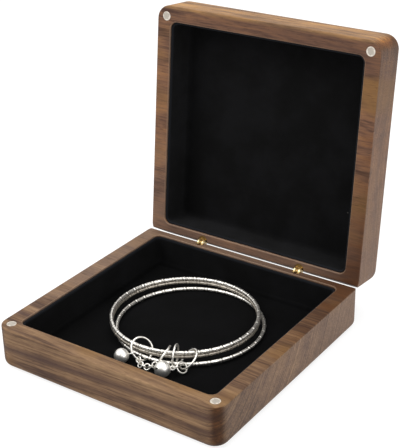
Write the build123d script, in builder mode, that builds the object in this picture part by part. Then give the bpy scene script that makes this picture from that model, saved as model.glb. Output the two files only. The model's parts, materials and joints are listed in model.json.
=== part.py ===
from build123d import *
import math
import os

# Wooden box
box_width = 120
box_depth = 120
shell_height = 20.5
wall = 7.6
rear_wall = 8.2
corner_radius = 6.8
outer_edge_round = 3.5
rim_edge_round = 0.6
cavity_depth = 17
cavity_corner_radius = 3.5
cavity_foot_radius = 3
rear_bevel_depth = 4.2
rear_bevel_height = 7.5

# Velvet lining
lining_thickness = 0.9
lining_below_rim = 0.8
lining_edge_round = 0.4
lining_clearance = 0.05

# Closing magnets
magnet_diameter = 4.5
magnet_thickness = 2
magnet_inset = 5.2
magnet_edge_round = 0.15
magnet_clearance = 0.03
magnet_below_rim = 0.08

# Barrel hinges
hinge_spacing = 56
hinge_axis_inset = 3.4
hinge_axis_below_seam = 0.7
lid_open_angle = 96.2
barrel_diameter = 5
barrel_length = 10
barrel_inset = 4.6
barrel_clearance = 0.02
barrel_below_surface = 0.1
ear_radius = 1.9
ear_width = 3.4
ear_slot_floor_gap = 0.6
tongue_radius = 1.6
tongue_width = 1.5
tongue_neck_depth = 3.8
tongue_neck_front = 0.8
hinge_running_clearance = 0.1
pin_diameter = 1.1
pin_length = 3.6
pin_clearance = 0.04

# Bangles
bangle_radius = 34.6
bangle_tube_radius = 0.88
bangle_knot_radius = 0.96
knots_per_bangle = 40
bangle_gap = 0.01
bangle_front_rise = 1.0
lower_bangle_offset = (-1.0, 7.5)
upper_bangle_offset = (-4.8, 8.8)
bangle_knot_turns = (3.6, 6.0, 0.0)

# Play between the pieces of the bracelet, and between them and the lining
wire_play = 0.12
ring_floor_gap = 0.06
floor_gap = 0.1

# Charm rings: run along the bangles from the front, reach outside them, turn and climb of the axis
charm_ring_radius = 5.25
charm_wire_radius = 0.45
charm_ring_places = (
    (0.5, -0.3, 72, 38.5),
    (11.8, 1.8, 84, -32),
    (17.2, 2.55, 83, -2),
    (22.6, 2.65, 93, -45),
)

# Small ring: its place on the wire of the last charm ring, and the way that it hangs
small_ring_radius = 2.5
small_wire_radius = 0.4
small_ring_clock = 215
small_ring_turn = -82
small_ring_climb = 35

# Chains
link_radius = 1.35
link_wire_radius = 0.28
link_pitch = 1.85
link_reach = 0.45
link_roll = 45
chain_bulge = 2.6
chain_start_clock = 222
chain_end_clock = 217
right_link_clock = -22
right_link_play = 0.15

# Bells
bell_left_radius = 3.4
bell_left_clock = 182
bell_left_turn = -52
bell_right_radius = 3.7
bell_right_turn = -84
bell_wall = 0.5
bell_slot_width = 0.7
bell_slot_share = 1.3
bell_slot_end_radius = 0.53
bell_loop_radius = 1.3
bell_eye_radius = 0.85
loop_sink = 0.1
pellet_radius = 1.1
pellet_clearance = 0.03

cavity_width = box_width - 2 * wall
cavity_length = box_depth - wall - rear_wall
cavity_middle_y = (wall - rear_wall) / 2
tray_floor = shell_height - cavity_depth
lining_floor = tray_floor + lining_clearance + lining_thickness
hinge_axis_y = box_depth / 2 - hinge_axis_inset
hinge_axis_z = shell_height - hinge_axis_below_seam
barrel_y = box_depth / 2 - barrel_inset


def direction(azimuth, elevation):
    """Unit vector from its bearing in the plane and its climb, in degrees."""
    a = math.radians(azimuth)
    e = math.radians(elevation)
    return Vector(math.cos(e) * math.cos(a), math.cos(e) * math.sin(a), math.sin(e))


# Each half is drawn in a frame of its own, with its outer face at height 0 and its rim upwards
base_frame = Plane.XY
swing = Pos(0, hinge_axis_y, hinge_axis_z) * Rot(-lid_open_angle, 0, 0)
swing = swing * Pos(0, -hinge_axis_y, -hinge_axis_z)
lid_closed = Plane(origin=(0, 0, 2 * shell_height), x_dir=(-1, 0, 0), z_dir=(0, 0, -1))
lid_frame = Plane(swing * lid_closed.location)


def side_view(frame, x=0):
    """Plane across the box at x, seen from the side: its x runs to the rear, its y up to the rim."""
    return Plane(origin=frame.from_local_coords((x, 0, 0)), x_dir=frame.y_dir, z_dir=frame.x_dir)


def height_in(frame):
    """Axis along which the faces of a half are sorted, from its outer face to its rim."""
    return Axis(frame.origin, frame.z_dir)


def fill_cavity(frame, inset, top):
    """Block with the shape of one half's cavity, drawn in on all sides by inset, up to a height."""
    up = height_in(frame)
    with BuildPart() as block:
        with BuildSketch(frame.offset(tray_floor + inset)):
            with Locations((0, cavity_middle_y)):
                RectangleRounded(
                    cavity_width - 2 * inset, cavity_length - 2 * inset, cavity_corner_radius - inset
                )
        extrude(amount=top - tray_floor - inset)
        fillet(faces().filter_by(up).sort_by(up)[0].edges(), cavity_foot_radius - inset)
    return block


def mill_shell(frame):
    """One half of the box, cut from a single block."""
    up = height_in(frame)
    magnet_x = box_width / 2 - magnet_inset
    magnet_y = box_depth / 2 - magnet_inset
    cavity = fill_cavity(frame, 0, shell_height)
    with BuildPart() as shell:
        with BuildSketch(frame):
            RectangleRounded(box_width, box_depth, corner_radius)
        extrude(amount=shell_height)
        fillet(faces().filter_by(up).sort_by(up)[0].edges(), outer_edge_round)
        with BuildSketch(side_view(frame)):
            with BuildLine():
                Polyline(
                    (box_depth / 2 - rear_bevel_depth, shell_height),
                    (box_depth / 2, shell_height - rear_bevel_height),
                    (box_depth, shell_height - rear_bevel_height),
                    (box_depth, shell_height),
                    close=True,
                )
            make_face()
        extrude(amount=box_width, both=True, mode=Mode.SUBTRACT)
        add(cavity.part, mode=Mode.SUBTRACT)
        fillet(faces().filter_by(up).sort_by(up)[-1].edges(), rim_edge_round)
        with BuildSketch(frame.offset(shell_height)):
            with Locations((-magnet_x, -magnet_y), (magnet_x, -magnet_y)):
                Circle(magnet_diameter / 2 + magnet_clearance)
        extrude(amount=-(magnet_thickness + magnet_below_rim + magnet_clearance), mode=Mode.SUBTRACT)
        with BuildSketch(frame.offset(shell_height)):
            with Locations((-hinge_spacing / 2, barrel_y), (hinge_spacing / 2, barrel_y)):
                Circle(barrel_diameter / 2 + barrel_clearance)
        extrude(amount=-(barrel_length + barrel_clearance), mode=Mode.SUBTRACT)
    return shell


def line_cavity(frame):
    """Velvet skin over the floor and walls of one half's cavity."""
    up = height_in(frame)
    outside = fill_cavity(frame, lining_clearance, shell_height - lining_below_rim)
    inside = fill_cavity(frame, lining_clearance + lining_thickness, shell_height)
    with BuildPart() as lining:
        add(outside.part)
        add(inside.part, mode=Mode.SUBTRACT)
        fillet(faces().filter_by(up).sort_by(up)[-1].edges(), lining_edge_round)
    return lining


def press_magnet(frame, side):
    """Magnet disc in a front corner of the rim, on the side of x that side gives."""
    centre = (side * (box_width / 2 - magnet_inset), -(box_depth / 2 - magnet_inset))
    with BuildPart() as magnet:
        with BuildSketch(frame.offset(shell_height - magnet_below_rim)):
            with Locations(centre):
                Circle(magnet_diameter / 2)
        extrude(amount=-magnet_thickness)
        fillet(edges().filter_by(GeomType.CIRCLE), magnet_edge_round)
    return magnet


def under_surface(sink):
    """Corners of the side outline of all that lies under the rim and the rear bevel, sunk by a little."""
    rim = shell_height - sink
    slope = rear_bevel_height / rear_bevel_depth
    bevel_start = box_depth / 2 - rear_bevel_depth
    return [
        (0, 0),
        (bevel_start + rim / slope, 0),
        (bevel_start, rim),
        (0, rim),
    ]


def make_base_barrel(x):
    """Base barrel with two round ears that carry the pin."""
    slot_width = tongue_width + 2 * hinge_running_clearance
    slot_bottom = hinge_axis_z - tongue_radius - ear_slot_floor_gap
    side = side_view(base_frame, x)
    with BuildPart() as barrel:
        with BuildSketch(base_frame.offset(shell_height - barrel_length)):
            with Locations((x, barrel_y)):
                Circle(barrel_diameter / 2)
        extrude(amount=barrel_length)
        with BuildSketch(side):
            with BuildLine():
                Polyline(*under_surface(barrel_below_surface), close=True)
            make_face()
        extrude(amount=barrel_diameter, both=True, mode=Mode.INTERSECT)
        with BuildSketch(side):
            with Locations((hinge_axis_y, hinge_axis_z)):
                Circle(ear_radius)
        extrude(amount=ear_width / 2, both=True)
        with BuildSketch(side):
            with BuildLine():
                Polyline(
                    (barrel_y - barrel_diameter, slot_bottom),
                    (barrel_y + barrel_diameter, slot_bottom),
                    (barrel_y + barrel_diameter, shell_height + barrel_diameter),
                    (barrel_y - barrel_diameter, shell_height + barrel_diameter),
                    close=True,
                )
            make_face()
        extrude(amount=slot_width / 2, both=True, mode=Mode.SUBTRACT)
        with BuildSketch(side):
            with Locations((hinge_axis_y, hinge_axis_z)):
                Circle(pin_diameter / 2 + pin_clearance)
        extrude(amount=barrel_diameter, both=True, mode=Mode.SUBTRACT)
    return barrel


def make_lid_barrel(x):
    """Lid barrel with a tongue between the ears and a hollow that the ears turn in."""
    axis_height = shell_height + hinge_axis_below_seam
    neck_bottom = axis_height - tongue_neck_depth
    neck_front = barrel_y - tongue_neck_front
    side = side_view(lid_frame, -x)
    with BuildPart() as barrel:
        with BuildSketch(lid_frame.offset(shell_height - barrel_length)):
            with Locations((-x, barrel_y)):
                Circle(barrel_diameter / 2)
        extrude(amount=barrel_length)
        with BuildSketch(side):
            with BuildLine():
                Polyline(*under_surface(barrel_below_surface), close=True)
            make_face()
        extrude(amount=barrel_diameter, both=True, mode=Mode.INTERSECT)
        with BuildSketch(side):
            with Locations((hinge_axis_y, axis_height)):
                Circle(ear_radius + hinge_running_clearance)
        extrude(amount=barrel_diameter, both=True, mode=Mode.SUBTRACT)
        with BuildSketch(side):
            with Locations((hinge_axis_y, axis_height)):
                Circle(tongue_radius)
            with BuildLine():
                Polyline(
                    (hinge_axis_y - tongue_radius, axis_height),
                    (neck_front, shell_height - barrel_below_surface),
                    (neck_front, neck_bottom),
                    (hinge_axis_y, neck_bottom),
                    (hinge_axis_y, axis_height),
                    close=True,
                )
            make_face()
        extrude(amount=tongue_width / 2, both=True)
        with BuildSketch(side):
            with Locations((hinge_axis_y, axis_height)):
                Circle(pin_diameter / 2 + pin_clearance)
        extrude(amount=barrel_diameter, both=True, mode=Mode.SUBTRACT)
    return barrel


def make_pin(x):
    """Hinge pin, whose middle lies on the line that the lid turns about."""
    with BuildPart() as pin:
        with BuildSketch(side_view(base_frame, x)):
            with Locations((hinge_axis_y, hinge_axis_z)):
                Circle(pin_diameter / 2)
        extrude(amount=pin_length / 2, both=True)
    return pin


def keep(piece, name):
    """Label a finished piece and write it under its name."""
    piece.part.label = name
    export_step(piece.part, f"parts/{name}.step")


os.makedirs("parts", exist_ok=True)

keep(mill_shell(base_frame), "base_shell")
keep(mill_shell(lid_frame), "lid_shell")
keep(line_cavity(base_frame), "base_lining")
keep(line_cavity(lid_frame), "lid_lining")
for side_name, side in (("left", -1), ("right", 1)):
    hinge_x = side * hinge_spacing / 2
    keep(press_magnet(base_frame, side), f"base_magnet_{side_name}")
    keep(press_magnet(lid_frame, -side), f"lid_magnet_{side_name}")
    keep(make_base_barrel(hinge_x), f"hinge_{side_name}_base_barrel")
    keep(make_lid_barrel(hinge_x), f"hinge_{side_name}_lid_barrel")
    keep(make_pin(hinge_x), f"hinge_{side_name}_pin")

# Bangles, stacked on the lining and a little higher at the front
bangle_lean = math.degrees(math.asin(bangle_front_rise / (2 * bangle_radius)))
bangle_axis = direction(90, 90 - bangle_lean)
bangle_pitch = 2 * bangle_knot_radius + bangle_gap
stack_foot = lining_floor + floor_gap + bangle_front_rise / 2 + bangle_knot_radius
bangle_names = ("lower", "middle", "upper")
bangle_offsets = (lower_bangle_offset, upper_bangle_offset, upper_bangle_offset)
bangle_planes = []
for level, (bangle_name, offset, turn) in enumerate(zip(bangle_names, bangle_offsets, bangle_knot_turns)):
    middle = Vector(offset[0], cavity_middle_y + offset[1], stack_foot + level * bangle_pitch)
    bangle_plane = Plane(origin=middle, x_dir=(1, 0, 0), z_dir=bangle_axis)
    bangle_planes.append(bangle_plane)
    with BuildPart(bangle_plane) as bangle:
        Torus(bangle_radius, bangle_tube_radius)
        with PolarLocations(bangle_radius, knots_per_bangle, start_angle=turn):
            Sphere(bangle_knot_radius)
    keep(bangle, f"bangle_{bangle_name}")


def bearing_at(along):
    """Bearing, from the bangles' middle, of a place that lies so far along them from the front."""
    return math.degrees(along / bangle_radius) - 90


def ring_plane(along, outside, turn, climb):
    """Plane of a charm ring round the bangles, its lowest point just clear of the lining."""
    bearing = bearing_at(along)
    normal = direction(bearing + turn, climb)
    reach = (bangle_radius + outside) * direction(bearing, 0)
    height = charm_ring_radius * math.cos(math.radians(climb)) + charm_wire_radius + ring_floor_gap
    middle = bangle_planes[1].origin
    origin = Vector(middle.X + reach.X, middle.Y + reach.Y, lining_floor + height)
    return Plane(origin=origin, x_dir=Vector(0, 0, 1).cross(normal), z_dir=normal)


def wire_point(plane, radius, clock):
    """Point on a ring's wire and the way that the wire runs there."""
    a = math.radians(clock)
    point = plane.from_local_coords((radius * math.cos(a), radius * math.sin(a), 0))
    ahead = plane.y_dir * math.cos(a) - plane.x_dir * math.sin(a)
    return point, ahead


def hung_on(point, ahead, pull, reach):
    """Plane of a ring that goes round a wire at a point, its middle drawn off by reach along pull."""
    square = ahead - pull * ahead.dot(pull)
    return Plane(origin=point + pull * reach, x_dir=pull, z_dir=square)


def rolled(point, along, roll):
    """Plane of a chain link that lies along the chain and is rolled about it."""
    side = along.cross(Vector(0, 0, 1)).normalized()
    upward = side.cross(along)
    a = math.radians(roll)
    return Plane(origin=point, x_dir=along, z_dir=side * math.cos(a) + upward * math.sin(a))


def ending_at(point, bearing, length, height):
    """Direction at a bearing in which a length from the point ends at a height."""
    return direction(bearing, math.degrees(math.asin((height - point.Z) / length)))


def make_ring(plane, radius, wire_radius):
    """Closed ring of round wire."""
    with BuildPart(plane) as ring:
        Torus(radius, wire_radius)
    return ring


def make_bell(middle, radius, eye_plane, eye_radius):
    """Hollow bell with an eye on one side and a slot with round ends on the other."""
    away = (middle - eye_plane.origin).normalized()
    slot_plane = Plane(origin=middle, x_dir=eye_plane.z_dir, z_dir=away)
    slot_length = radius * bell_slot_share
    with BuildPart() as bell:
        with Locations(slot_plane):
            Sphere(radius)
        with Locations(eye_plane):
            Torus(eye_radius, link_wire_radius)
        with Locations(slot_plane):
            Sphere(radius - bell_wall, mode=Mode.SUBTRACT)
        with BuildSketch(slot_plane):
            SlotCenterToCenter(slot_length, bell_slot_width)
            with Locations((-slot_length / 2, 0), (slot_length / 2, 0)):
                Circle(bell_slot_end_radius)
        extrude(amount=2 * radius, mode=Mode.SUBTRACT)
    return bell


def make_pellet(middle, radius):
    """Loose ball that lies at the lowest place inside a bell."""
    drop = radius - bell_wall - pellet_radius - pellet_clearance
    with BuildPart(Plane(origin=middle - Vector(0, 0, drop))) as pellet:
        Sphere(pellet_radius)
    return pellet


charm_rings = [ring_plane(*place) for place in charm_ring_places]
first_bearing = bearing_at(charm_ring_places[0][0])
last_bearing = bearing_at(charm_ring_places[-1][0])
for number, plane in enumerate(charm_rings, start=1):
    keep(make_ring(plane, charm_ring_radius, charm_wire_radius), f"charm_ring_{number}")

# Left bell, whose own loop goes round the first charm ring
loop_reach = bell_loop_radius - link_wire_radius - charm_wire_radius - wire_play
point, ahead = wire_point(charm_rings[0], charm_ring_radius, bell_left_clock)
length = loop_reach + bell_loop_radius + bell_left_radius - loop_sink
bell_height = lining_floor + floor_gap + bell_left_radius
pull = ending_at(point, first_bearing + bell_left_turn, length, bell_height)
bell_left_middle = point + pull * length
bell_left_loop = hung_on(point, ahead, pull, loop_reach)
keep(make_bell(bell_left_middle, bell_left_radius, bell_left_loop, bell_loop_radius), "bell_left")
keep(make_pellet(bell_left_middle, bell_left_radius), "bell_left_pellet")

# Small ring on the last charm ring, one link on it, and the right bell with its eye in that link
small_reach = small_ring_radius - small_wire_radius - charm_wire_radius - wire_play
point, ahead = wire_point(charm_rings[-1], charm_ring_radius, small_ring_clock)
small_ring = hung_on(point, ahead, direction(last_bearing + small_ring_turn, small_ring_climb), small_reach)
keep(make_ring(small_ring, small_ring_radius, small_wire_radius), "small_ring")
point, ahead = wire_point(small_ring, small_ring_radius, right_link_clock)
right_reach = link_reach + right_link_play
eye_reach = 2 * right_reach + bell_eye_radius
length = eye_reach + bell_eye_radius + bell_right_radius - loop_sink
bell_height = lining_floor + floor_gap + bell_right_radius
pull = ending_at(point, last_bearing + bell_right_turn, length, bell_height)
bell_right_middle = point + pull * length
right_link = hung_on(point, ahead, pull, right_reach)
eye_square = pull.cross(right_link.z_dir)
bell_right_eye = Plane(origin=point + pull * eye_reach, x_dir=pull, z_dir=eye_square)
keep(make_ring(right_link, link_radius, link_wire_radius), "right_chain_link")
keep(make_bell(bell_right_middle, bell_right_radius, bell_right_eye, bell_eye_radius), "bell_right")
keep(make_pellet(bell_right_middle, bell_right_radius), "bell_right_pellet")

# Chain that lies on the lining from the first charm ring to the second
chain_height = lining_floor + floor_gap + link_wire_radius + link_radius * math.sin(math.radians(link_roll))
start, start_ahead = wire_point(charm_rings[0], charm_ring_radius, chain_start_clock)
end, end_ahead = wire_point(charm_rings[1], charm_ring_radius, chain_end_clock)
middle = (start + end) / 2
middle = Vector(middle.X, middle.Y - chain_bulge, chain_height)
first_link = hung_on(start, start_ahead, (middle - start).normalized(), link_reach)
last_link = hung_on(end, end_ahead, (middle - end).normalized(), link_reach)
chain_line = Edge.make_three_point_arc(first_link.origin, middle, last_link.origin)
link_gaps = round(chain_line.length / link_pitch)
chain_links = [first_link]
for place in range(1, link_gaps):
    share = place / link_gaps
    roll = -link_roll if place % 2 else link_roll
    chain_links.append(rolled(chain_line.position_at(share), chain_line.tangent_at(share), roll))
chain_links.append(last_link)
for number, plane in enumerate(chain_links, start=1):
    keep(make_ring(plane, link_radius, link_wire_radius), f"front_chain_link_{number}")
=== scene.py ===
# %% [markdown]
# # A walnut bracelet box in Blender
#
# This is a square gift box, milled from two blocks of walnut, lined with black velvet and
# held by two small brass barrel hinges. Three thin silver bangles with rings, bells and a
# fine chain lie in the tray. The solid pieces come from the frame at their real size. What
# is made here is their finish, the velvet and the bamboo shape of the bangles.

# %% Load the frame
import bpy
import json
import math
import random
from mathutils import Matrix, Vector, noise


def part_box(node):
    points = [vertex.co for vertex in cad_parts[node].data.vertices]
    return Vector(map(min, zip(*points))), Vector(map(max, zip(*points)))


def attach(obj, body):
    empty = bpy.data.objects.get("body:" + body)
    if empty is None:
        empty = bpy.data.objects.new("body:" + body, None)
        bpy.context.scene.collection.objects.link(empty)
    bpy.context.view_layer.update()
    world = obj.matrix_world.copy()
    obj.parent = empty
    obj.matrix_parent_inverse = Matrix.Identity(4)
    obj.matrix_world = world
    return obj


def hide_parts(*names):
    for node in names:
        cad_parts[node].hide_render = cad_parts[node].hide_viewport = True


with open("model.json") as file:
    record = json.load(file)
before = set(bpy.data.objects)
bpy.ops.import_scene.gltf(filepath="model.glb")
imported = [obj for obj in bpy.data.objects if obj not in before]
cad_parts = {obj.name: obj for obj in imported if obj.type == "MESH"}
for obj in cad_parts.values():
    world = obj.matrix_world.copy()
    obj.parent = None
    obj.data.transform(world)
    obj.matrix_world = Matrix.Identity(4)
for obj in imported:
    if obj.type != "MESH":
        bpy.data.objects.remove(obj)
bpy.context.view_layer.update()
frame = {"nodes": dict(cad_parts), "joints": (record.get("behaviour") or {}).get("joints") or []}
nodes = frame["nodes"]
mm = 0.001

# %% [markdown]
# The lid is shown open, so its velvet and its wood are easiest to think of as they lie when
# the box is closed. The hinge joint gives the line that the lid turns about and how far it
# is open. From these comes one matrix, which takes a point of the lid, drawn as a second
# base with its rim upwards, to its place in the open box.

# %% Frames of the two halves
hinge = next(j for j in frame["joints"] if j["type"] == "hinge")
pivot = Vector(hinge["pos_m"])
open_angle = math.radians(hinge["range_deg"][1])
base_low, base_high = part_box("base_shell")
shell_height = base_high[2] - base_low[2]

turn_over = Matrix(((-1, 0, 0, 0), (0, 1, 0, 0), (0, 0, -1, 2 * shell_height), (0, 0, 0, 1)))
swing = Matrix.Translation(pivot) @ Matrix.Rotation(-open_angle, 4, "X") @ Matrix.Translation(-pivot)
base_place = Matrix.Identity(4)
lid_place = swing @ turn_over
print("lid open by", round(math.degrees(open_angle), 1), "degrees")

# %% [markdown]
# ## Helpers for materials
#
# A shader tree is built from nodes and links, and written out in full that takes many lines.
# Two short helpers keep it readable. Colours are written as they look on a screen, from 0 to
# 255, and turned into the linear values that the renderer works with. A node is made with
# its inputs in one call, each either a plain value or a link from another node's socket.

# %% Colours and nodes
def screen_colour(red, green, blue):
    """Colour as a screen shows it, turned into linear values with full alpha."""
    def linear(value):
        v = value / 255
        return v / 12.92 if v <= 0.04045 else ((v + 0.055) / 1.055) ** 2.4
    return (linear(red), linear(green), linear(blue), 1)


def set_inputs(tree, made, inputs):
    """Set inputs of a node to values, or link them from sockets."""
    for key, value in (inputs or {}).items():
        if isinstance(value, bpy.types.NodeSocket):
            tree.links.new(value, made.inputs[key])
        else:
            made.inputs[key].default_value = value
    return made


def node(tree, kind, inputs=None, **settings):
    """A node with its settings and its inputs."""
    made = tree.nodes.new("ShaderNode" + kind)
    for name, value in settings.items():
        setattr(made, name, value)
    return set_inputs(tree, made, inputs)


print("mid grey on the screen is", round(screen_colour(128, 128, 128)[0], 3), "in linear light")

# %% [markdown]
# Three steps come back in every material: a sum on numbers, a mix of two colours, and a
# value that is spread smoothly from one range to another. The last one turns a soft noise
# into a mask with the edge that the finish needs.

# %% Sums, mixes and masks
def math_of(tree, operation, first, second=0.0, third=0.0):
    """Result socket of one sum on numbers."""
    return node(tree, "Math", {0: first, 1: second, 2: third}, operation=operation).outputs[0]


def mix_of(tree, share, first, second, blend="MIX"):
    """Result socket of two colours mixed by a share."""
    mixed = node(tree, "Mix", {0: share, 6: first, 7: second}, data_type="RGBA", blend_type=blend)
    return mixed.outputs[2]


def times(tree, colour, tint):
    """Result socket of a colour multiplied by a tint."""
    return mix_of(tree, 1.0, colour, tint, blend="MULTIPLY")


def spread_of(tree, value, low, high, to_low=0.0, to_high=1.0):
    """Result socket of a value spread smoothly from one range to another."""
    inputs = {"Value": value, "From Min": low, "From Max": high, "To Min": to_low, "To Max": to_high}
    return node(tree, "MapRange", inputs, interpolation_type="SMOOTHSTEP").outputs[0]


# %% [markdown]
# An effect that several materials share is a node group with named sockets, so that it is
# built once. The material itself keeps the one Principled shader. Its values that don't
# change over the surface, such as its IOR, are set on the shader's own sockets.

# %% Groups and materials
def new_group(name, inputs, outputs):
    """Empty node group with its sockets, and its input and output nodes."""
    tree = bpy.data.node_groups.new(name, "ShaderNodeTree")
    for label, kind, value in inputs:
        socket = tree.interface.new_socket(label, in_out="INPUT", socket_type="NodeSocket" + kind)
        if value is not None:
            socket.default_value = value
    for label, kind in outputs:
        tree.interface.new_socket(label, in_out="OUTPUT", socket_type="NodeSocket" + kind)
    return tree, tree.nodes.new("NodeGroupInput").outputs, tree.nodes.new("NodeGroupOutput").inputs


def group(tree, source, inputs=None):
    """One use of a node group in a tree."""
    made = tree.nodes.new("ShaderNodeGroup")
    made.node_tree = source
    return set_inputs(tree, made, inputs)


def new_material(name, **constants):
    """Material with one Principled shader, its plain values set on the shader's own sockets."""
    material = bpy.data.materials.new(name)
    material.use_nodes = True
    shader = material.node_tree.nodes["Principled BSDF"]
    for label, value in constants.items():
        shader.inputs[label.replace("_", " ")].default_value = value
    return material, material.node_tree, shader


def bump_from(tree, shader, strength, distance, height):
    """Small relief from a height, on a shader's normal."""
    bump = node(tree, "Bump", {"Strength": strength, "Distance": distance * mm, "Height": height})
    tree.links.new(bump.outputs[0], shader.inputs["Normal"])


# %% [markdown]
# ## Where a point lies in the wood
#
# Grain has to run through the solid, so it is worked out from the place of each point and
# not from a flat picture. This group turns the piece's own coordinates into millimetres in
# the frame of one half of the box: x along the grain, z from the outer face to the rim. It
# gives the facing of the surface in that frame too, because end grain looks different.

# %% Group: place in a half
def place_group(name, place):
    """Group that gives position in millimetres and facing, in the frame of one half."""
    tree, _, out = new_group(name, [], [("Position", "Vector"), ("Facing", "Vector")])
    inverse = place.inverted()
    turn = inverse.to_euler("XYZ")
    coordinates = node(tree, "TexCoord")
    point = node(tree, "Mapping", {"Vector": coordinates.outputs["Object"], "Rotation": turn,
                                   "Location": inverse.translation}, vector_type="POINT")
    scaled = node(tree, "VectorMath", {0: point.outputs[0], "Scale": 1 / mm}, operation="SCALE")
    facing = node(tree, "Mapping", {"Vector": coordinates.outputs["Normal"], "Rotation": turn},
                  vector_type="VECTOR")
    tree.links.new(scaled.outputs[0], out["Position"])
    tree.links.new(facing.outputs[0], out["Facing"])
    return tree


base_coordinates = place_group("Place in the base", base_place)
lid_coordinates = place_group("Place in the lid", lid_place)
print("each half is", round(shell_height / mm, 1), "mm high")

# %% [markdown]
# ## Growth rings
#
# A board is a slice of a trunk, so its lines are cuts through long tubes round the pith.
# The distance from the pith line, warped a little and tilted along the board, gives both
# the broad bands of colour and the fine year lines. A noise on that distance alone makes
# them uneven, as good and bad years are.

# %% Group: growth rings
def build_growth_rings():
    """Group with the distance from the pith, the broad bands and the year lines."""
    tree, given, out = new_group(
        "Growth rings",
        [("Position", "Vector", None), ("Pith Y", "Float", 0.0), ("Pith Z", "Float", -90.0),
         ("Tilt", "Float", 0.05), ("Warp", "Float", 3.0), ("Band Size", "Float", 7.0),
         ("Line Size", "Float", 1.3)],
        [("Distance", "Float"), ("Bands", "Float"), ("Lines", "Float")],
    )
    stretched = node(tree, "VectorMath", {0: given["Position"], 1: (0.35, 1.0, 1.0)}, operation="MULTIPLY")
    bend = node(tree, "TexNoise", {"Vector": stretched.outputs[0], "Scale": 0.032, "Detail": 2.0,
                                   "Roughness": 0.45})
    split = node(tree, "SeparateXYZ", {0: given["Position"]})
    across = math_of(tree, "SUBTRACT", split.outputs["Y"], given["Pith Y"])
    above = math_of(tree, "SUBTRACT", split.outputs["Z"], given["Pith Z"])
    squares = math_of(tree, "MULTIPLY_ADD", across, across, math_of(tree, "MULTIPLY", above, above))
    ring = math_of(tree, "SQRT", squares)
    tilted = math_of(tree, "MULTIPLY_ADD", split.outputs["X"], given["Tilt"], ring)
    centred = math_of(tree, "SUBTRACT", bend.outputs["Fac"], 0.5)
    distance = math_of(tree, "MULTIPLY_ADD", centred, given["Warp"], tilted)
    tree.links.new(distance, out["Distance"])
    for label, size, detail, roughness in (("Bands", "Band Size", 1.5, 0.5), ("Lines", "Line Size", 2.5, 0.6)):
        made = node(tree, "TexNoise", {"W": math_of(tree, "DIVIDE", distance, given[size]), "Scale": 1.0,
                                       "Detail": detail, "Roughness": roughness}, noise_dimensions="1D")
        tree.links.new(made.outputs["Fac"], out[label])
    return tree


growth_rings = build_growth_rings()
print("growth rings with", len(growth_rings.nodes), "nodes")

# %% [markdown]
# ## Fibres and pores
#
# Between the year lines walnut shows long soft streaks, fine lines and broad patches, all
# drawn out along the grain. Each is one noise with its own scale, stretched by its own
# amount. A fine one, cut off so that only its peaks stay, gives the pores: dashes on a face
# along the grain, dots on the end grain. The start value slides the whole figure through
# the wood, so that no two boards look alike.

# %% Group: fibres
FIBRES = {
    "Streaks": (0.045, 0.42, 4.0, 0.6),
    "Fine": (0.05, 1.5, 3.0, 0.65),
    "Pores": (0.09, 2.4, 2.0, 0.5),
    "Mottle": (0.22, 0.12, 4.0, 0.65),
    "Patches": (0.5, 0.035, 2.0, 0.5),
}


def build_fibres():
    """Group with streaks, fine lines, pores, a soft mottle and broad patches."""
    tree, given, out = new_group("Fibres", [("Position", "Vector", None), ("Start", "Vector", None)],
                                 [(label, "Float") for label in FIBRES])
    place = node(tree, "VectorMath", {0: given["Position"], 1: given["Start"]}, operation="ADD").outputs[0]
    for label, (along, scale, detail, roughness) in FIBRES.items():
        stretched = node(tree, "VectorMath", {0: place, 1: (along, 1.0, 1.0)}, operation="MULTIPLY")
        made = node(tree, "TexNoise", {"Vector": stretched.outputs[0], "Scale": scale, "Detail": detail,
                                       "Roughness": roughness}).outputs["Fac"]
        if label == "Pores":
            made = spread_of(tree, made, 0.56, 0.70)
        tree.links.new(made, out[label])
    return tree


fibres = build_fibres()
print("fibres:", ", ".join(FIBRES))

# %% [markdown]
# ## Edges and end grain
#
# The small rounding round the cavity gets a painted highlight, paler than the flat beside it.
# Its height in the half's frame finds it, and a limit on how far out it lies leaves the outer
# edge alone. At the upright outer corners the cut turns from side grain to end grain, and
# there the colour is tinted darker and redder. Facing alone finds these corners, and the end
# grain too, which looks along the grain.

# %% Group: worn edges
def build_edge_masks():
    """Group with masks for the painted highlight on the rim's inner rounding, the upright corners and the end
    grain.
    """
    tree, given, out = new_group(
        "Edge masks",
        [("Position", "Vector", None), ("Facing", "Vector", None), ("Rim Height", "Float", 20.5),
         ("Inside", "Float", 54.0)],
        [("Inner Rim Highlight", "Float"), ("Corner", "Float"), ("End Grain", "Float")],
    )
    place = node(tree, "SeparateXYZ", {0: given["Position"]})
    facing = node(tree, "SeparateXYZ", {0: given["Facing"]})
    under = math_of(tree, "SUBTRACT", given["Rim Height"], place.outputs["Z"])
    near = spread_of(tree, under, 0.9, 0.35)
    round_part = spread_of(tree, under, 0.0, 0.05)
    furthest = math_of(tree, "MAXIMUM", math_of(tree, "ABSOLUTE", place.outputs["X"]),
                       math_of(tree, "ABSOLUTE", place.outputs["Y"]))
    inner = spread_of(tree, math_of(tree, "SUBTRACT", furthest, given["Inside"]), 0.3, 0.0)
    rounded = math_of(tree, "MULTIPLY", near, round_part)
    # Mask for the painted highlight on the rim's inner rounding.
    tree.links.new(math_of(tree, "MULTIPLY", rounded, inner), out["Inner Rim Highlight"])
    x_share = math_of(tree, "MULTIPLY", facing.outputs["X"], facing.outputs["X"])
    y_share = math_of(tree, "MULTIPLY", facing.outputs["Y"], facing.outputs["Y"])
    corner = math_of(tree, "MULTIPLY", math_of(tree, "MULTIPLY", x_share, y_share), 4.0)
    tree.links.new(spread_of(tree, corner, 0.0, 0.95), out["Corner"])
    tree.links.new(spread_of(tree, x_share, 0.35, 0.95), out["End Grain"])
    return tree


edge_masks = build_edge_masks()
print("edge masks with", len(edge_masks.nodes), "nodes")
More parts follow.
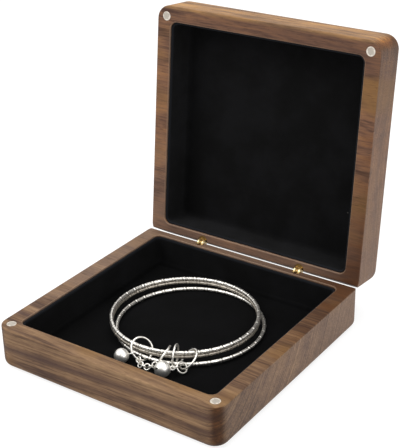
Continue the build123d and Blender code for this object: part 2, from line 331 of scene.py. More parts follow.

# %% [markdown]
# ## Walnut
#
# Both halves are oiled walnut, but not from the same board. The lid's is a little redder.
# The shades of each run from the dark late wood to the light early wood. Besides them,
# walnut has near-black heartwood and golden and grey patches. The lid's front face, which
# faces up when the lid is open, gets painted light as a tint, so the grain shows through it.

# %% Shades of walnut
BASE_SHADES = ((70, 50, 40), (97, 73, 55), (117, 90, 67), (132, 103, 76), (149, 119, 88))
LID_SHADES = ((68, 46, 37), (99, 71, 56), (124, 89, 67), (139, 99, 69), (155, 113, 76))
HEARTWOOD = screen_colour(74, 53, 46)
# Grey tone of the wood, also used for the painted sheen on end grain.
GREY_WOOD_AND_SHEEN = screen_colour(126, 104, 90)
GOLDEN_WOOD = screen_colour(132, 97, 54)
END_WOOD = screen_colour(98, 81, 70)
PORE_WOOD = screen_colour(58, 42, 34)
# Colour of the painted highlight on the rim's inner rounding.
PAINTED_RIM_HIGHLIGHT = screen_colour(156, 130, 108)
# Tint of painted light for the lid's front face, which faces up when the lid is open.
TOP_FACE_LIGHT_TINT = (2.05, 2.3, 1.7, 1)
DEEP_TINT = (0.42, 0.29, 0.20, 1)


def shade_ramp(tree, value, shades):
    """Colour picked from evenly spaced shades."""
    ramp = node(tree, "ValToRGB", {"Fac": value})
    elements = ramp.color_ramp.elements
    while len(elements) < len(shades):
        elements.new(0.5)
    for place, shade in enumerate(shades):
        elements[place].position = place / (len(shades) - 1)
        elements[place].color = screen_colour(*shade)
    return ramp.outputs[0]


print(len(BASE_SHADES), "shades for the base,", len(LID_SHADES), "for the lid")

# %% [markdown]
# The figure of the board comes first. Bands, streaks and year lines are added up with
# weights, and the sum picks a shade. Streaks of heartwood lie at fixed distances from the
# pith, as they do in a tree, and the broad patches turn the wood golden here and there.

# %% Figure of the board
FIGURE_WEIGHTS = (("Streaks", 0.4), ("Fine", 0.45), ("Mottle", 0.75), ("Patches", 0.4))


def board_figure(tree, rings, grain, shades, streaks):
    """Colour of plain wood with its figure, heartwood and golden patches."""
    shade = math_of(tree, "MULTIPLY", rings.outputs["Bands"], 0.35)
    for label, weight in FIGURE_WEIGHTS:
        shade = math_of(tree, "MULTIPLY_ADD", grain.outputs[label], weight, shade)
    shade = math_of(tree, "MULTIPLY_ADD", rings.outputs["Lines"], 0.45, shade)
    colour = shade_ramp(tree, spread_of(tree, shade, 1.1, 1.7), shades)
    for streak_at, width, strength in streaks:
        off = math_of(tree, "ABSOLUTE", math_of(tree, "SUBTRACT", rings.outputs["Distance"], streak_at))
        uneven = math_of(tree, "MULTIPLY_ADD", grain.outputs["Streaks"], 1.6, 0.2)
        share = spread_of(tree, math_of(tree, "DIVIDE", off, uneven), width, 0.0, 0.0, strength)
        colour = mix_of(tree, share, colour, HEARTWOOD)
    golden = spread_of(tree, grain.outputs["Patches"], 0.52, 0.66, 0.0, 0.6)
    return mix_of(tree, golden, colour, GOLDEN_WOOD)


# %% [markdown]
# A board also changes from one side to the other: greyer here, darker there. A direction
# across the half gives that lean, and the mottle makes its border uneven. End grain is
# greyer than side grain, partly a painted sheen, and shows every year line, and its colour
# is darker towards the front.

# %% Sides and end grain
def leaning(tree, position, direction, wander, low, high):
    """Share that rises from one side of the half to the other, with an uneven border."""
    along = node(tree, "VectorMath", {0: position, 1: direction}, operation="DOT_PRODUCT")
    uneven = math_of(tree, "MULTIPLY_ADD", math_of(tree, "SUBTRACT", wander, 0.5), 90.0, along.outputs["Value"])
    return spread_of(tree, uneven, low, high)


def end_grain_colour(tree, colour, end_grain, depth, rings, grain):
    """Greyer wood, partly a painted sheen, with clear year lines where the fibres are cut across."""
    # Partly painted sheen: end grain is mixed towards grey, and is darker towards the front.
    end_grain_and_sheen = mix_of(tree, spread_of(tree, depth, -58, -5), END_WOOD, GREY_WOOD_AND_SHEEN)
    colour = mix_of(tree, math_of(tree, "MULTIPLY", end_grain, 0.55), colour, end_grain_and_sheen)
    year_tone = spread_of(tree, rings.outputs["Lines"], 0.3, 0.7, 0.85, 1.1)
    fine_tone = spread_of(tree, grain.outputs["Fine"], 0.3, 0.7, 0.82, 1.15)
    year_lines = times(tree, colour, math_of(tree, "MULTIPLY", year_tone, fine_tone))
    return mix_of(tree, end_grain, colour, year_lines)


# %% [markdown]
# Then come the pores, filled dark by the oil, a darker and redder tint on the upright
# corners, painted light on the lid's front face, and a painted highlight on the rim's inner
# rounding. The surface is satin, a little rougher and lower in the pores.

# %% Pores, corners and painted light
def pores_corners_and_painted_light(tree, colour, grain, edges, depth, corner_tint, top_face_light):
    """Colour with pores, darker and redder corners, painted light on the lid's front face and a painted
    highlight on the rim.
    """
    pore_dark = math_of(tree, "MULTIPLY", grain.outputs["Pores"], 0.4)
    colour = mix_of(tree, pore_dark, colour, PORE_WOOD)
    colour = mix_of(tree, edges.outputs["Corner"], colour, times(tree, colour, (*corner_tint, 1)))
    # Painted light: the lid's front face, which faces up when the lid is open, is brightened by a tint.
    painted_top_light = spread_of(tree, depth, -57.5, -59.8, 0.0, top_face_light)
    colour = mix_of(tree, painted_top_light, colour, times(tree, colour, TOP_FACE_LIGHT_TINT))
    # Painted highlight on the small rounding round the cavity.
    return mix_of(tree, math_of(tree, "MULTIPLY", edges.outputs["Inner Rim Highlight"], 0.4), colour, PAINTED_RIM_HIGHLIGHT)


def satin_surface(tree, shader, grain):
    """Roughness and relief of oiled wood."""
    rough = math_of(tree, "MULTIPLY_ADD", grain.outputs["Pores"], 0.2, 0.5)
    rough = math_of(tree, "MULTIPLY_ADD", grain.outputs["Streaks"], 0.12, rough)
    tree.links.new(rough, shader.inputs["Roughness"])
    height = math_of(tree, "MULTIPLY_ADD", grain.outputs["Pores"], -0.6,
                     math_of(tree, "MULTIPLY", grain.outputs["Streaks"], 0.5))
    bump_from(tree, shader, 0.35, 0.12, height)


# %% [markdown]
# One function puts these steps together, and each half gets its own values: where the pith
# lay, how the grain runs off, where the heartwood passes, which sides are dark and grey, how
# strongly the corners are tinted, how much painted light the front face gets, and where in
# the wood the figure starts.

# %% Material: walnut
def walnut(name, coordinates, shades, pith, tilt, warp, streaks, dark_side, dark_from, grey_side,
           corner_tint, top_face_light, noise_start):
    """Oiled walnut for one half of the box."""
    material, tree, shader = new_material(name, IOR=1.45, Specular_IOR_Level=0.2)
    place = group(tree, coordinates)
    position = place.outputs["Position"]
    depth = node(tree, "SeparateXYZ", {0: position}).outputs["Y"]
    rings = group(tree, growth_rings, {"Position": position, "Pith Y": pith[0], "Pith Z": pith[1],
                                       "Tilt": tilt, "Warp": warp})
    grain = group(tree, fibres, {"Position": position, "Start": noise_start})
    edges = group(tree, edge_masks, {"Position": position, "Facing": place.outputs["Facing"],
                                     "Rim Height": shell_height / mm})
    end_grain = edges.outputs["End Grain"]
    mottle = grain.outputs["Mottle"]

    colour = board_figure(tree, rings, grain, shades, streaks)
    grey = math_of(tree, "MULTIPLY", leaning(tree, position, grey_side, mottle, -25, 25), 0.5)
    colour = mix_of(tree, grey, colour, GREY_WOOD_AND_SHEEN)
    colour = end_grain_colour(tree, colour, end_grain, depth, rings, grain)
    dark = leaning(tree, position, dark_side, mottle, dark_from, dark_from + 60)
    dark = math_of(tree, "MULTIPLY", dark, math_of(tree, "SUBTRACT", 1.0, end_grain))
    colour = mix_of(tree, dark, colour, times(tree, colour, DEEP_TINT))
    colour = pores_corners_and_painted_light(tree, colour, grain, edges, depth, corner_tint, top_face_light)
    tree.links.new(colour, shader.inputs["Base Color"])
    satin_surface(tree, shader, grain)
    print(name, "with", len(tree.nodes), "nodes")
    return material


base_walnut = walnut("Walnut of the base", base_coordinates, BASE_SHADES, pith=(-80, 60), tilt=0.025, warp=3.5,
                     streaks=((51.2, 2.6, 0.75), (57.6, 1.3, 0.45)),
                     dark_side=(1.0, 0.6, 0.0), dark_from=28, grey_side=(-0.5, 1.0, 0.0),
                     corner_tint=(0.38, 0.25, 0.13), top_face_light=0.0, noise_start=(480, 70, 60))
lid_walnut = walnut("Walnut of the lid", lid_coordinates, LID_SHADES, pith=(10, -260), tilt=-0.05, warp=8.0,
                    streaks=((274.0, 2.0, 0.5), (288.5, 3.0, 0.5)),
                    dark_side=(-2.0, 0.6, 0.0), dark_from=96, grey_side=(0.0, 0.8, -1.0),
                    corner_tint=(1.0, 0.8, 0.52), top_face_light=0.75, noise_start=(-220, 130, 20))

# %% [markdown]
# The solids come with a plain material. Their meshes stay as they are, and only the
# material in each slot changes.

# %% Dress the two halves
def dress(names, material):
    """Give CAD nodes a material in place of the plain one they came with."""
    for name in names:
        for slot in nodes[name].material_slots:
            slot.material = material


dress(["base_shell"], base_walnut)
dress(["lid_shell"], lid_walnut)
print("walnut on both halves")

# %% [markdown]
# ## Velvet
#
# The lining is a thin velvet glued into each cavity. A flat sheet with a bump could not show
# its soft foot and its turned edge, so the sheet is built in rings of points: over the top
# edge, down the wall, round the foot and in to the middle. The sizes come from the lining's
# box in the frame.

# %% Sizes of the velvet
lining_low, lining_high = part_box("base_lining")
velvet_skin = 0.9 * mm
cavity_corner = 3.5 * mm
foot_radius = 2.4 * mm
least_corner = 0.6 * mm
floor_z = lining_low[2] + velvet_skin
edge_z = lining_high[2]
half_width = (lining_high[0] - lining_low[0]) / 2
half_length = (lining_high[1] - lining_low[1]) / 2
middle_y = (lining_high[1] + lining_low[1]) / 2
SIDE_STEPS = 56
CORNER_STEPS = 8
WALL_STEPS = 7
FOOT_STEPS = 8

# %% [markdown]
# Every ring is a rounded rectangle with the same number of points, so neighbours can be
# joined by four-sided faces. A ring further in has a smaller corner.

# %% Rings of points
def rounded_loop(inset, height):
    """Points of a rounded rectangle drawn in from the cavity's wall, all loops alike in number."""
    radius = max(cavity_corner - inset, least_corner)
    reach_x = half_width - inset - radius
    reach_y = half_length - inset - radius
    corners = ((reach_x, -reach_y, -90), (reach_x, reach_y, 0), (-reach_x, reach_y, 90),
               (-reach_x, -reach_y, 180))
    points = []
    for place, (x, y, start) in enumerate(corners):
        for step in range(CORNER_STEPS + 1):
            a = math.radians(start + 90 * step / CORNER_STEPS)
            points.append(Vector((x + radius * math.cos(a), y + radius * math.sin(a), height)))
        next_x, next_y, next_start = corners[(place + 1) % 4]
        a = math.radians(next_start)
        end = Vector((next_x + radius * math.cos(a), next_y + radius * math.sin(a), height))
        begin = points[-1]
        points += [begin.lerp(end, step / SIDE_STEPS) for step in range(1, SIDE_STEPS)]
    return points


print(len(rounded_loop(0, 0)), "points in each ring")

# %% [markdown]
# The profile says how far in and how high each ring lies. The lip is turned over the top
# edge with its cut end against the wood. The foot is a quarter round, because cloth doesn't
# fold sharply into a corner.

# %% Profile of the lining
LIP_RINGS = 6


def lining_profile():
    """Pairs of inset and height from the cut edge, over the top, down the wall and to the middle."""
    lip = [(0.03 * mm, edge_z - 0.5 * mm), (0.03 * mm, edge_z - 0.1 * mm), (0.2 * mm, edge_z),
           (0.55 * mm, edge_z), (0.82 * mm, edge_z - 0.15 * mm), (velvet_skin, edge_z - 0.5 * mm)]
    wall_foot = floor_z + foot_radius
    wall = [(velvet_skin, edge_z + (wall_foot - edge_z) * step / WALL_STEPS) for step in range(1, WALL_STEPS)]
    foot = []
    for step in range(FOOT_STEPS + 1):
        a = math.radians(90 * step / FOOT_STEPS)
        foot.append((velvet_skin + foot_radius * (1 - math.cos(a)),
                     wall_foot - foot_radius * math.sin(a)))
    flat = [(velvet_skin + foot_radius + (half_length - velvet_skin - foot_radius) * share, floor_z)
            for share in (0.05, 0.12, 0.2, 0.3, 0.4, 0.5, 0.6, 0.7, 0.8, 0.9, 0.97)]
    return lip + wall + foot + flat


print(len(lining_profile()), "rings in the profile")

# %% [markdown]
# Glued cloth is never quite flat. Slow noise moves the walls and the floor by a few
# hundredths of a millimetre, and a quicker noise makes the cut edge a little ragged.

# %% Points and faces of the velvet
def velvet_point(ring, point, seed):
    """Point of the velvet after the cloth's own unevenness."""
    at = point / mm
    slow = noise.noise(Vector((at.x * 0.05, at.y * 0.05, at.z * 0.08 + seed)))
    if ring < LIP_RINGS:
        ragged = noise.noise(Vector((at.x * 0.35, at.y * 0.35, seed)))
        point.z += (0.16 * ragged - 0.05) * mm * (ring > 0)
    elif point.z > floor_z + 0.1 * mm:
        inward = Vector((point.x, point.y, 0)).normalized()
        point -= inward * (0.07 * slow + 0.02) * mm
    else:
        point.z += 0.03 * slow * mm
    return point


def strip_faces(rings, count):
    """Four-sided faces between neighbouring rings of points."""
    faces = []
    for ring in range(rings - 1):
        for step in range(count):
            a, b = ring * count + step, ring * count + (step + 1) % count
            faces.append((a, b, b + count, a + count))
    return faces


# %% [markdown]
# The finished sheet rides on its half and stands in for the lining's solid. Its flat size is
# the cavity's floor plus a wall at each side.

# %% Sheets of velvet
def make_velvet(name, place, body, cad_node, seed):
    """Velvet sheet of one cavity, set in its half in place of the lining's solid."""
    profile = lining_profile()
    points = []
    for ring, (inset, height) in enumerate(profile):
        for point in rounded_loop(inset, height):
            points.append(place @ (velvet_point(ring, point, seed) + Vector((0, middle_y, 0))))
    count = len(points) // len(profile)
    faces = strip_faces(len(profile), count)
    faces.append(tuple((len(profile) - 1) * count + step for step in range(count)))
    mesh = bpy.data.meshes.new(name)
    mesh.from_pydata([tuple(p) for p in points], [], faces)
    mesh.shade_smooth()
    mesh.update()
    velvet = bpy.data.objects.new(name, mesh)
    bpy.context.scene.collection.objects.link(velvet)
    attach(velvet, body)
    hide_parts(cad_node)
    return velvet


base_velvet = make_velvet("velvet_in_base", base_place, "base", "base_lining", 1.0)
lid_velvet = make_velvet("velvet_in_lid", lid_place, "lid", "lid_lining", 9.0)

# %% [markdown]
# Velvet is nearly black face on and greyer where the pile is seen from the side. The
# shader's own sheen does that. A soft noise stands for pile that was brushed one way or the
# other, a fine one for the pile itself, and a few rare specks are lint. A factor by facing
# paints light and shade that set the walls and the floor apart, darkest on the base's floor,
# and a painted sheen lies along the fold at the top edge.

# %% Material: black velvet
DEEP_PILE = screen_colour(13, 13, 13)
BRUSHED_PILE = screen_colour(19, 19, 20)
PILE_TIPS = screen_colour(34, 34, 35)
# Colour of the painted sheen along the fold at the top edge.
PAINTED_FOLD_SHEEN = screen_colour(43, 45, 50)
LINT = screen_colour(120, 118, 112)


def build_velvet(name, coordinates, painted_light_on_walls, painted_light_on_floor):
    """Short black pile with brushed patches, a little lint, painted light by facing and a painted sheen."""
    material, tree, shader = new_material(name, Sheen_Weight=0.08, Sheen_Roughness=0.45,
                                          Sheen_Tint=screen_colour(160, 160, 162), IOR=1.35,
                                          Specular_IOR_Level=0.05)
    place = group(tree, coordinates)
    position = place.outputs["Position"]
    brushed = node(tree, "TexNoise", {"Vector": position, "Scale": 0.06, "Detail": 3.0, "Roughness": 0.6})
    pile = node(tree, "TexNoise", {"Vector": position, "Scale": 3.6, "Detail": 2.0, "Roughness": 0.7})
    patches = spread_of(tree, brushed.outputs["Fac"], 0.35, 0.7)
    colour = mix_of(tree, patches, DEEP_PILE, BRUSHED_PILE)
    colour = mix_of(tree, spread_of(tree, pile.outputs["Fac"], 0.45, 0.75, 0.0, 0.3), colour, PILE_TIPS)
    facing = node(tree, "SeparateXYZ", {0: place.outputs["Facing"]})
    # Painted light and shade: the colour is scaled by how the surface faces, walls against floor.
    colour = times(tree, colour, spread_of(tree, facing.outputs["Z"], 0.2, 0.9, painted_light_on_walls, painted_light_on_floor))
    height = node(tree, "SeparateXYZ", {0: position}).outputs["Z"]
    # Painted sheen along the fold at the top edge.
    fold = spread_of(tree, height, edge_z / mm - 1.6, edge_z / mm - 0.7, 0.0, 0.4)
    colour = mix_of(tree, fold, colour, PAINTED_FOLD_SHEEN)
    specks = node(tree, "TexVoronoi", {"Vector": position, "Scale": 0.06}, feature="F1")
    lint = spread_of(tree, specks.outputs["Distance"], 0.028, 0.012)
    colour = mix_of(tree, math_of(tree, "MULTIPLY", lint, 0.6), colour, LINT)
    tree.links.new(colour, shader.inputs["Base Color"])
    tree.links.new(math_of(tree, "MULTIPLY_ADD", pile.outputs["Fac"], 0.2, 0.78), shader.inputs["Roughness"])
    bump_from(tree, shader, 0.5, 0.15, pile.outputs["Fac"])
    print(name, "with", len(tree.nodes), "nodes")
    return material


base_velvet.data.materials.append(build_velvet("Black velvet of the base", base_coordinates, 1.1, 0.45))
lid_velvet.data.materials.append(build_velvet("Black velvet of the lid", lid_coordinates, 1.8, 1.15))

# %% [markdown]
# ## Handled metal
#
# All the metal here is small, bright and handled. The same soft smears and shallow dents
# lie on silver, nickel, brass and steel, so they are one group. It gives a tone that varies
# a little, a roughness to add and a height.

# %% Group: handled metal
def build_handled_metal():
    """Group with a slightly uneven tone, an added roughness and a height of fine dents."""
    tree, given, out = new_group(
        "Handled metal",
        [("Size", "Float", 1.0), ("Smear", "Float", 0.12)],
        [("Tone", "Float"), ("Added Roughness", "Float"), ("Dents", "Float")],
    )
    coordinates = node(tree, "TexCoord")
    scaled = node(tree, "VectorMath", {0: coordinates.outputs["Object"], "Scale": 1 / mm}, operation="SCALE")
    broad = node(tree, "TexNoise", {"Vector": scaled.outputs[0], "Scale": given["Size"], "Detail": 3.0,
                                    "Roughness": 0.55})
    fine = node(tree, "TexNoise", {"Vector": scaled.outputs[0], "Scale": 7.0, "Detail": 2.0, "Roughness": 0.6})
    tree.links.new(spread_of(tree, broad.outputs["Fac"], 0.3, 0.7, 0.86, 1.0), out["Tone"])
    tree.links.new(math_of(tree, "MULTIPLY", fine.outputs["Fac"], given["Smear"]), out["Added Roughness"])
    tree.links.new(broad.outputs["Fac"], out["Dents"])
    return tree


handled_metal = build_handled_metal()
print("handled metal with", len(handled_metal.nodes), "nodes")

# %% [markdown]
# Silver, brass and steel differ in colour, in how finely they are polished and in how far
# their gloss covers the colour, so one function makes them all. Silver tarnishes where a
# cloth doesn't reach. The bangles' meshes mark their grooves with an attribute, and the
# tarnish follows it.

# %% Material: polished metal
TARNISH = screen_colour(84, 78, 70)


def polished(name, colour, roughness, size=1.0, metallic=1.0, tarnish=0.0):
    """Polished metal with fine wear, and tarnish in the grooves of a mesh that marks them."""
    material, tree, shader = new_material(name, Metallic=metallic, IOR=1.8)
    wear = group(tree, handled_metal, {"Size": size})
    toned = times(tree, screen_colour(*colour), wear.outputs["Tone"])
    if tarnish:
        groove = node(tree, "Attribute", attribute_name="groove")
        toned = mix_of(tree, math_of(tree, "MULTIPLY", groove.outputs["Fac"], tarnish), toned, TARNISH)
    tree.links.new(toned, shader.inputs["Base Color"])
    rough = math_of(tree, "ADD", wear.outputs["Added Roughness"], roughness)
    tree.links.new(rough, shader.inputs["Roughness"])
    bump_from(tree, shader, 0.4, 0.02, wear.outputs["Dents"])
    return material


silver = polished("Polished silver", (244, 240, 232), 0.24, metallic=0.85)
bamboo_silver = polished("Silver of the bangles", (246, 242, 234), 0.22, metallic=0.85, tarnish=0.55)
# Painted shade: a darker copy of the bangles' silver for the middle bangle, under the upper one.
painted_shade_bamboo_silver = polished("Silver of the middle bangle with painted shade", (184, 176, 164), 0.34, metallic=0.85,
                              tarnish=0.5)
bell_silver = polished("Satin silver of the bells", (250, 247, 240), 0.3, size=0.5, metallic=0.85)
brass = polished("Brass of the hinges", (222, 200, 152), 0.32, size=0.8)
# Painted shade: a darker copy of the brass for the barrels in the lid's shade.
painted_shade_brass = polished("Shaded brass of the lid barrels", (150, 122, 74), 0.4, size=0.8)
steel = polished("Steel of the pins", (178, 178, 180), 0.3)
print("silver, brass and steel are ready")

# %% [markdown]
# ## Nickel of the magnets
#
# The closing magnets are discs with nickel plating, darker in the middle, with a painted
# highlight round the rim. The distance from a disc's own middle, which the frame gives, is
# bent a little by the dents, so that the bright rim isn't a drawn circle.

# %% Material: nickel
magnet_low, magnet_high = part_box("base_magnet_right")
magnet_x = (magnet_low[0] + magnet_high[0]) / 2 / mm
magnet_y = (magnet_low[1] + magnet_high[1]) / 2 / mm


def nickel(name, coordinates):
    """Nickel plating, darker in the middle and with a painted highlight on the edge, in one half's frame."""
    material, tree, shader = new_material(name, Metallic=0.55, IOR=1.8)
    split = node(tree, "SeparateXYZ", {0: group(tree, coordinates).outputs["Position"]})
    aside = math_of(tree, "SUBTRACT", math_of(tree, "ABSOLUTE", split.outputs["X"]), magnet_x)
    ahead = math_of(tree, "SUBTRACT", split.outputs["Y"], magnet_y)
    squares = math_of(tree, "MULTIPLY_ADD", aside, aside, math_of(tree, "MULTIPLY", ahead, ahead))
    wear = group(tree, handled_metal, {"Size": 0.9, "Smear": 0.2})
    uneven = math_of(tree, "SUBTRACT", wear.outputs["Dents"], 0.5)
    from_middle = math_of(tree, "MULTIPLY_ADD", uneven, 2.5, math_of(tree, "SQRT", squares))
    # Painted highlight: the rim of each disc is coloured brighter than its middle.
    edge = spread_of(tree, from_middle, 1.5, 2.0)
    colour = mix_of(tree, edge, screen_colour(184, 175, 163), screen_colour(226, 217, 204))
    tree.links.new(times(tree, colour, wear.outputs["Tone"]), shader.inputs["Base Color"])
    tree.links.new(math_of(tree, "ADD", wear.outputs["Added Roughness"], 0.36), shader.inputs["Roughness"])
    bump_from(tree, shader, 0.4, 0.03, wear.outputs["Dents"])
    return material


print("magnets at", round(magnet_x, 1), round(magnet_y, 1), "mm")

# %% [markdown]
# The names in the frame say what each piece is, so the beginning or the end of a name is
# enough to find its metal. The barrels in the lid lie in the shade of the open lid, so they
# get a darker copy of the brass: painted shade.

# %% Dress the metal pieces
dress([n for n in nodes if n.startswith(("charm_ring", "small_ring", "front_chain", "right_chain"))], silver)
dress([n for n in nodes if n.startswith("bell_")], bell_silver)
dress([n for n in nodes if n.startswith("base_magnet")], nickel("Nickel of the base", base_coordinates))
dress([n for n in nodes if n.startswith("lid_magnet")], nickel("Nickel of the lid", lid_coordinates))
dress([n for n in nodes if n.endswith("base_barrel")], brass)
dress([n for n in nodes if n.endswith("lid_barrel")], painted_shade_brass)
dress([n for n in nodes if n.endswith("_pin")], steel)
print("metal on the rings, bells, chains, magnets and hinges")

# %% [markdown]
# ## Bamboo bangles
#
# Each bangle is a silver rod drawn into short stems with a raised knot between them, like
# bamboo. The solid in the frame has round knots on an even tube. A hand-made one has stems
# that are nearly straight, waisted and a little turned, with a groove filed at each side of
# the knot. That makes its highlights jump from stem to stem, so the shown bangle is built
# here as a tube of rings of points.

# %% Sizes of the bangles
STEMS = 40
RINGS_PER_STEM = 20
POINTS_ROUND = 18
tube_radius = 0.87 * mm
knot_rise = 0.14 * mm
knot_width = 0.36 * mm
groove_depth = 0.07 * mm
groove_place = 0.75 * mm
stem_run = 2 * math.pi / STEMS
first_knots = {"bangle_lower": 3.6, "bangle_middle": 6.0, "bangle_upper": 0.0}


def bangle_frame(name):
    """Middle, radius and tilted plane of a bangle, read from its solid's box."""
    low, high = (Vector(corner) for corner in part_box(name))
    middle = (low + high) / 2
    lean = math.asin(((high[2] - low[2]) - 2 * (tube_radius + knot_rise)) / (high[0] - low[0]))
    radius = (high[0] - low[0]) / 2 - tube_radius - knot_rise
    return middle, radius, Matrix.Rotation(-lean, 4, "X")


print("radius of the upper bangle", round(bangle_frame("bangle_upper")[1] / mm, 2), "mm")

# %% [markdown]
# One ring of points goes round the tube. How thick it is depends on the distance from the
# nearest knot: a bell curve raises the knot, and a second one cuts the groove beside it. The
# stem is pulled in towards the straight line between its knots, and flattened by a hair.

# %% One ring of a stem
def stem_ring(radius, angle, share, twist, flatness, drift):
    """Points round the tube at one place of a stem, and how deep in the groove they lie."""
    from_knot = min(share, 1 - share) * stem_run * radius
    knot = math.exp(-(from_knot / knot_width) ** 2)
    groove = math.exp(-((from_knot - groove_place) / knot_width) ** 2)
    waist = math.sin(math.pi * share) ** 2
    chord = radius * (1 - math.cos(stem_run / 2)) * math.sin(math.pi * share)
    thickness = tube_radius + knot_rise * knot - groove_depth * groove
    reach = radius - 0.5 * chord + drift * waist
    outward = Vector((math.cos(angle), math.sin(angle), 0))
    ring = []
    for step in range(POINTS_ROUND):
        turn = 2 * math.pi * step / POINTS_ROUND
        here = thickness - abs(flatness * waist * math.cos(2 * (turn - twist)))
        ring.append(outward * (reach + here * math.cos(turn)) + Vector((0, 0, here * math.sin(turn))))
    return ring, groove


# %% [markdown]
# The stems follow each other round the bangle, each with its own small chance twist, flat
# and drift. A fixed seed gives the same bangle each time. The groove is kept on the points
# as an attribute for the tarnish.

# %% Bangle meshes
def make_bangle(name, seed):
    """Tube of stems and knots in the place of a bangle's solid."""
    middle, radius, lean = bangle_frame(name)
    chance = random.Random(seed)
    points = []
    grooves = []
    for stem in range(STEMS):
        twist = chance.uniform(-0.5, 0.5)
        flatness = chance.uniform(0.015, 0.055) * mm
        drift = chance.uniform(-0.03, 0.03) * mm
        for place in range(RINGS_PER_STEM):
            share = place / RINGS_PER_STEM
            angle = math.radians(first_knots[name]) + (stem + share) * stem_run
            ring, groove = stem_ring(radius, angle, share, twist, flatness, drift)
            points += [tuple(lean @ point + middle) for point in ring]
            grooves += [groove] * POINTS_ROUND
    rings = STEMS * RINGS_PER_STEM
    faces = []
    for ring in range(rings):
        after = (ring + 1) % rings
        for step in range(POINTS_ROUND):
            beside = (step + 1) % POINTS_ROUND
            faces.append((ring * POINTS_ROUND + step, after * POINTS_ROUND + step,
                          after * POINTS_ROUND + beside, ring * POINTS_ROUND + beside))
    mesh = bpy.data.meshes.new("bamboo_" + name)
    mesh.from_pydata(points, [], faces)
    mesh.shade_smooth()
    mesh.attributes.new("groove", "FLOAT", "POINT").data.foreach_set("value", grooves)
    # The middle bangle gets the silver with painted shade.
    mesh.materials.append(painted_shade_bamboo_silver if name == "bangle_middle" else bamboo_silver)
    bangle = bpy.data.objects.new("bamboo_" + name, mesh)
    bpy.context.scene.collection.objects.link(bangle)
    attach(bangle, "bracelet")
    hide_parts(name)
    print(bangle.name, "radius", round(radius / mm, 2), "mm,", len(points), "points")
    return bangle


for seed, name in enumerate(sorted(first_knots)):
    make_bangle(name, seed)

# %% [markdown]
# ## Camera
#
# The view is a little from the right and from above. The values below are real sizes: the
# point that the camera looks past, its distance, and the lens on a 36 mm sensor. The small
# roll is kept, because a box shows it at once when upright edges lean the other way.

# %% Camera
view_azimuth = math.radians(35.05)
view_climb = math.radians(26.217)
view_roll = math.radians(-1.29)
view_distance = 531.795 * mm
aim = Vector((0, 25, 40)) * mm
aim_right = -5.74 * mm
aim_up = 9.956 * mm
sensor_long_side = 36.0
lens_pixels = 1142.02
picture_long_side = 448

back = Vector((math.sin(view_azimuth) * math.cos(view_climb),
               -math.cos(view_azimuth) * math.cos(view_climb), math.sin(view_climb)))
level_right = Vector((math.cos(view_azimuth), math.sin(view_azimuth), 0))
level_up = back.cross(level_right)
right = level_right * math.cos(view_roll) + level_up * math.sin(view_roll)
up = level_up * math.cos(view_roll) - level_right * math.sin(view_roll)
camera_data = bpy.data.cameras.new("Camera")
camera_data.sensor_width = sensor_long_side
camera_data.lens = lens_pixels * sensor_long_side / picture_long_side
camera_data.clip_start = 0.01
camera_data.clip_end = 20
camera = bpy.data.objects.new("Camera", camera_data)
bpy.context.scene.collection.objects.link(camera)
camera.matrix_world = Matrix((
    (right.x, up.x, back.x, 0), (right.y, up.y, back.y, 0), (right.z, up.z, back.z, 0), (0, 0, 0, 1)))
camera.location = aim + back * view_distance + right * aim_right + up * aim_up
bpy.context.scene.camera = camera
print("lens", round(camera_data.lens, 1), "mm")

# %% [markdown]
# ## Floor
#
# The photograph is taken on white. The floor is white to the camera and in reflections, and
# keeps a faint soft shadow, so that the box stands on it. To all other light it is a plain
# pale floor. It lies a hair under the box, or the two would share one plane.

# %% Floor
floor_reach = 3.0
floor_below = 0.1 * mm
floor_steps = 64


def seen_directly(tree):
    """Share of the rays that come from the camera, a mirror or glass."""
    rays = node(tree, "LightPath")
    seen = math_of(tree, "MAXIMUM", rays.outputs["Is Camera Ray"], rays.outputs["Is Glossy Ray"])
    return math_of(tree, "MAXIMUM", seen, rays.outputs["Is Transmission Ray"])


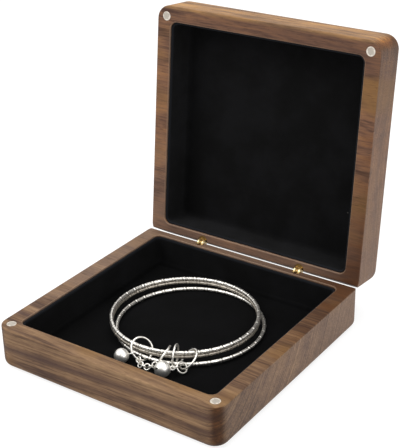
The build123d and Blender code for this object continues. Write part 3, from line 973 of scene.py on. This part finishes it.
def make_floor():
    """Large round white floor just under the box."""
    ring = []
    for step in range(floor_steps):
        a = 2 * math.pi * step / floor_steps
        ring.append((floor_reach * math.cos(a), floor_reach * math.sin(a), -floor_below))
    mesh = bpy.data.meshes.new("floor")
    mesh.from_pydata(ring, [], [tuple(range(floor_steps))])
    floor = bpy.data.objects.new("floor", mesh)
    bpy.context.scene.collection.objects.link(floor)
    material = bpy.data.materials.new("White floor")
    material.use_nodes = True
    tree = material.node_tree
    tree.nodes.clear()
    plain = node(tree, "BsdfDiffuse", {"Color": (0.8, 0.8, 0.8, 1)})
    shaded = node(tree, "BsdfDiffuse", {"Color": (0.3, 0.3, 0.3, 1)})
    glow = node(tree, "Emission", {"Color": (1, 1, 1, 1), "Strength": 0.8})
    shown = node(tree, "AddShader", {0: shaded.outputs[0], 1: glow.outputs[0]})
    mixed = node(tree, "MixShader", {0: seen_directly(tree), 1: plain.outputs[0], 2: shown.outputs[0]})
    output = node(tree, "OutputMaterial")
    tree.links.new(mixed.outputs[0], output.inputs["Surface"])
    mesh.materials.append(material)
    print("floor", round(2 * floor_reach, 1), "m across")
    return floor


make_floor()

# %% [markdown]
# ## Light
#
# Most of the light is a pale even world, which only looks white to the camera and to the
# metal. Three soft lamps shape the box: one from the upper left in front, a weaker one from
# the right, and one over the hinges that lights the upward faces.

# %% World and lamps
world = bpy.data.worlds.new("Studio")
bpy.context.scene.world = world
world.use_nodes = True
tree = world.node_tree
tree.nodes.clear()
soft = node(tree, "Background", {"Color": (1, 1, 1, 1), "Strength": 0.55})
white = node(tree, "Background", {"Color": (1, 1, 1, 1), "Strength": 1.0})
mixed = node(tree, "MixShader", {0: seen_directly(tree), 1: soft.outputs[0], 2: white.outputs[0]})
output = node(tree, "OutputWorld")
tree.links.new(mixed.outputs[0], output.inputs["Surface"])
box_middle = Vector((0, 0.02, 0.04))


def lamp(name, place, size, power):
    """Broad soft lamp that looks at the middle of the box."""
    data = bpy.data.lights.new(name, "AREA")
    data.shape = "RECTANGLE"
    data.size, data.size_y = size
    data.energy = power
    made = bpy.data.objects.new(name, data)
    bpy.context.scene.collection.objects.link(made)
    made.location = place
    made.rotation_mode = "QUATERNION"
    made.rotation_quaternion = (box_middle - Vector(place)).to_track_quat("-Z", "Y")
    print(name, power, "W")
    return made


lamp("Upper left lamp", (-0.45, -0.5, 0.9), (0.7, 0.7), 6)
lamp("Right lamp", (0.9, -0.2, 0.5), (0.5, 0.8), 3)
lamp("Overhead lamp", (0.05, 0.25, 1.0), (0.8, 0.5), 4)

# %% [markdown]
# ## View settings
#
# The Standard view keeps colours as they are written.

# %% Finish
bpy.context.scene.view_settings.view_transform = "Standard"
